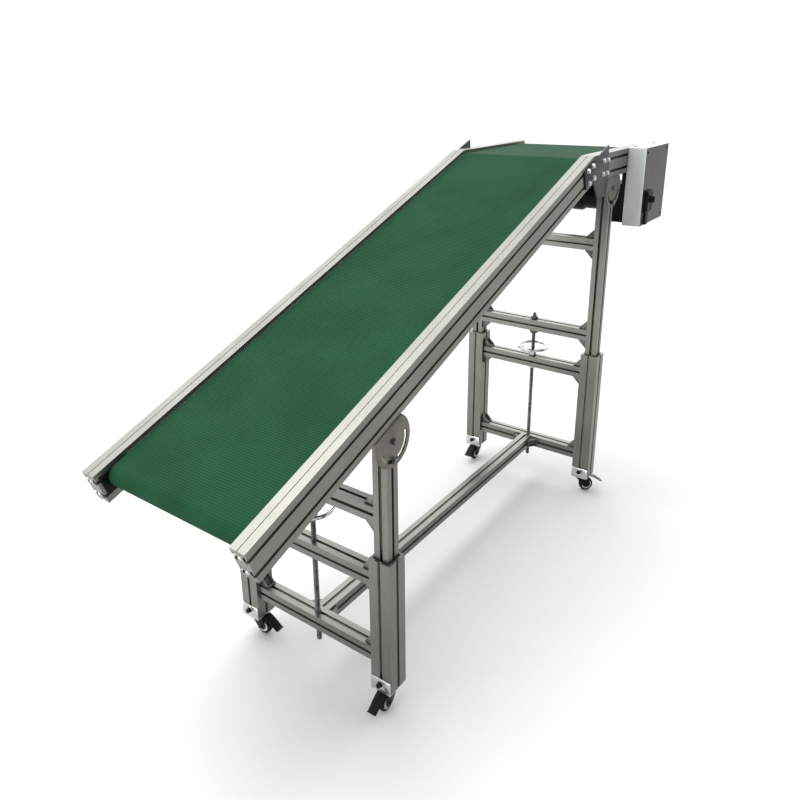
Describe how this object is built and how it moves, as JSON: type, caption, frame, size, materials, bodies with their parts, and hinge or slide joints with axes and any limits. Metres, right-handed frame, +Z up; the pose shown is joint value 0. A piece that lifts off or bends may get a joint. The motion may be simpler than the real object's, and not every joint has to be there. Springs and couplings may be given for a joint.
{
  "type": "belt conveyor",
  "caption": "Inclined belt conveyor with a level head, chain-guarded drive, telescoping leg frames raised by handwheels and screws, and braked swivel casters.",
  "frame": {"origin": "on the floor, under the middle of the overall bounding box", "axes": "+X along the conveyor from the low tail end to the high head end, +Y to the left side seen when looking along +X, +Z up"},
  "size_m": [2.0204, 0.5876, 1.266],
  "materials": {
    "anodised": "satin anodised",
    "zinc": "bright zinc plate",
    "screw": "oiled steel thread",
    "chrome": "polished",
    "plate": "blued steel plate",
    "steel": "plain steel",
    "belt": "green ribbed belt cover",
    "guard": "grey powder coat",
    "black": "matte",
    "black_steel": "black coat",
    "rubber": "matte",
    "cast": "black casting paint"
  },
  "bodies": {
    "base": {"outer_leg_fl": "anodised", "outer_leg_fr": "anodised", "outer_leg_rl": "anodised", "outer_leg_rr": "anodised", "mid_beam_f": "anodised", "bottom_beam_f": "anodised", "mid_beam_r": "anodised", "bottom_beam_r": "anodised", "long_beam": "anodised", "caster_plate_fl": "zinc", "caster_plate_fr": "zinc", "caster_plate_rl": "zinc", "caster_plate_rr": "zinc"},
    "fork_fl": {"caster_fork_fl": "black_steel"},
    "wheel_fl": {"caster_wheel_fl": "rubber"},
    "pedal_fl": {"caster_pedal_fl": "black_steel"},
    "fork_fr": {"caster_fork_fr": "black_steel"},
    "wheel_fr": {"caster_wheel_fr": "rubber"},
    "pedal_fr": {"caster_pedal_fr": "black_steel"},
    "fork_rl": {"caster_fork_rl": "black_steel"},
    "wheel_rl": {"caster_wheel_rl": "rubber"},
    "pedal_rl": {"caster_pedal_rl": "black_steel"},
    "fork_rr": {"caster_fork_rr": "black_steel"},
    "wheel_rr": {"caster_wheel_rr": "rubber"},
    "pedal_rr": {"caster_pedal_rr": "steel"},
    "rear_frame": {"inner_post_rl": "anodised", "inner_post_rr": "anodised", "upper_beam_r": "anodised", "head_beam_r": "anodised"},
    "rear_screw": {"leadscrew_r": "screw", "handwheel_r": "chrome"},
    "bed": {"rail_incline_l": "anodised", "rail_incline_r": "anodised", "rail_level_l": "anodised", "rail_level_r": "anodised", "kink_plate_l": "plate", "kink_plate_r": "plate", "pivot_plate_rl": "steel", "pivot_plate_rr": "steel", "belt": "belt", "slider_bed": "steel", "cross_tie": "anodised", "guard_cover": "guard", "gearmotor": "cast", "drive_chain": "screw", "switch_body": "black"},
    "front_brackets": {"pivot_plate_fl": "steel", "pivot_plate_fr": "steel"},
    "front_frame": {"inner_post_fl": "anodised", "inner_post_fr": "anodised", "upper_beam_f": "anodised"},
    "front_screw": {"leadscrew_f": "screw", "handwheel_f": "chrome"},
    "tail_roller_body": {"tail_roller": "steel"},
    "head_roller_body": {"head_roller": "steel"},
    "return_roller_1_body": {"return_roller_1": "steel"},
    "return_roller_2_body": {"return_roller_2": "steel"},
    "return_roller_3_body": {"return_roller_3": "steel"},
    "motor_sprocket_body": {"motor_sprocket": "steel"},
    "switch_knob_body": {"switch_knob": "black"}
  },
  "joints": [
    {"name": "rear_lift", "type": "slide", "parent": "base", "child": "rear_frame", "axis": [0, 0, 1], "range_m": [0, 0.1]},
    {"name": "rear_screw_spin", "type": "hinge", "parent": "rear_frame", "child": "rear_screw", "pos_m": [0.64516, 0.0388, 0.5], "axis": [0, 0, 1], "range_deg": [0, 7210]},
    {"name": "bed_tilt", "type": "hinge", "parent": "rear_frame", "child": "bed", "pos_m": [0.64516, 0.0388, 1.124], "axis": [0, 1, 0], "range_deg": [-2, 2]},
    {"name": "front_bracket_slide", "type": "slide", "parent": "bed", "child": "front_brackets", "axis": [0.9397, 0, 0.342], "range_m": [-0.0145, 0.0145]},
    {"name": "front_frame_pivot", "type": "hinge", "parent": "front_brackets", "child": "front_frame", "pos_m": [-0.57984, 0.0388, 0.73621], "axis": [0, 1, 0], "range_deg": [-2, 2]},
    {"name": "front_screw_spin", "type": "hinge", "parent": "front_frame", "child": "front_screw", "pos_m": [-0.57984, 0.0388, 0.3], "axis": [0, 0, 1], "range_deg": [-3450, 3450]},
    {"name": "swivel_fl", "type": "hinge", "parent": "base", "child": "fork_fl", "pos_m": [-0.57984, 0.2638, 0.06], "axis": [0, 0, 1], "continuous": true},
    {"name": "roll_fl", "type": "hinge", "parent": "fork_fl", "child": "wheel_fl", "pos_m": [-0.57928, 0.24781, 0.025], "axis": [0.9994, 0.0349, 0], "continuous": true},
    {"name": "brake_fl", "type": "hinge", "parent": "fork_fl", "child": "pedal_fl", "pos_m": [-0.5789, 0.23682, 0.059], "axis": [0.9994, 0.0349, 0], "range_deg": [0, 12]},
    {"name": "swivel_fr", "type": "hinge", "parent": "base", "child": "fork_fr", "pos_m": [-0.57984, -0.1862, 0.06], "axis": [0, 0, 1], "continuous": true},
    {"name": "roll_fr", "type": "hinge", "parent": "fork_fr", "child": "wheel_fr", "pos_m": [-0.59583, -0.18676, 0.025], "axis": [0.0349, -0.9994, 0], "continuous": true},
    {"name": "brake_fr", "type": "hinge", "parent": "fork_fr", "child": "pedal_fr", "pos_m": [-0.60683, -0.18714, 0.059], "axis": [0.0349, -0.9994, 0], "range_deg": [0, 12]},
    {"name": "swivel_rl", "type": "hinge", "parent": "base", "child": "fork_rl", "pos_m": [0.64516, 0.2638, 0.06], "axis": [0, 0, 1], "continuous": true},
    {"name": "roll_rl", "type": "hinge", "parent": "fork_rl", "child": "wheel_rl", "pos_m": [0.62916, 0.2638, 0.025], "axis": [0, -1, 0], "continuous": true},
    {"name": "brake_rl", "type": "hinge", "parent": "fork_rl", "child": "pedal_rl", "pos_m": [0.61816, 0.2638, 0.059], "axis": [0, -1, 0], "range_deg": [0, 12]},
    {"name": "swivel_rr", "type": "hinge", "parent": "base", "child": "fork_rr", "pos_m": [0.64516, -0.1862, 0.06], "axis": [0, 0, 1], "continuous": true},
    {"name": "roll_rr", "type": "hinge", "parent": "fork_rr", "child": "wheel_rr", "pos_m": [0.65647, -0.19751, 0.025], "axis": [0.7071, 0.7071, 0], "continuous": true},
    {"name": "brake_rr", "type": "hinge", "parent": "fork_rr", "child": "pedal_rr", "pos_m": [0.66425, -0.20529, 0.059], "axis": [0.7071, 0.7071, 0], "range_deg": [0, 12]},
    {"name": "tail_roller_spin", "type": "hinge", "parent": "bed", "child": "tail_roller_body", "pos_m": [-0.95086, 0.0388, 0.6863], "axis": [0, 1, 0], "continuous": true},
    {"name": "head_roller_spin", "type": "hinge", "parent": "bed", "child": "head_roller_body", "pos_m": [0.88516, 0.0388, 1.204], "axis": [0, 1, 0], "continuous": true},
    {"name": "return_roller_1_spin", "type": "hinge", "parent": "bed", "child": "return_roller_1_body", "pos_m": [0.47574, 0.0388, 1.18], "axis": [0, 1, 0], "continuous": true},
    {"name": "return_roller_2_spin", "type": "hinge", "parent": "bed", "child": "return_roller_2_body", "pos_m": [-0.1909, 0.0388, 0.93736], "axis": [0, 1, 0], "continuous": true},
    {"name": "return_roller_3_spin", "type": "hinge", "parent": "bed", "child": "return_roller_3_body", "pos_m": [-0.8111, 0.0388, 0.71163], "axis": [0, 1, 0], "continuous": true},
    {"name": "motor_sprocket_spin", "type": "hinge", "parent": "bed", "child": "motor_sprocket_body", "pos_m": [0.88816, -0.2212, 1.045], "axis": [0, 1, 0], "continuous": true},
    {"name": "switch_turn", "type": "hinge", "parent": "bed", "child": "switch_knob_body", "pos_m": [0.82116, -0.2862, 1.07], "axis": [0, -1, 0], "range_deg": [-45, 45]}
  ],
  "couplings": [
    {"joint": "rear_screw_spin", "follows": "rear_lift", "rad_per_m": 1256.6},
    {"joint": "front_bracket_slide", "follows": "bed_tilt", "m_per_rad": 0.41268},
    {"joint": "front_frame_pivot", "follows": "bed_tilt", "ratio": -1},
    {"joint": "front_screw_spin", "follows": "bed_tilt", "ratio": 1716.7},
    {"joint": "tail_roller_spin", "follows": "head_roller_spin", "ratio": 1},
    {"joint": "return_roller_1_spin", "follows": "head_roller_spin", "ratio": -2},
    {"joint": "return_roller_2_spin", "follows": "head_roller_spin", "ratio": -2},
    {"joint": "return_roller_3_spin", "follows": "head_roller_spin", "ratio": -2},
    {"joint": "motor_sprocket_spin", "follows": "head_roller_spin", "ratio": 1.1667}
  ]
}
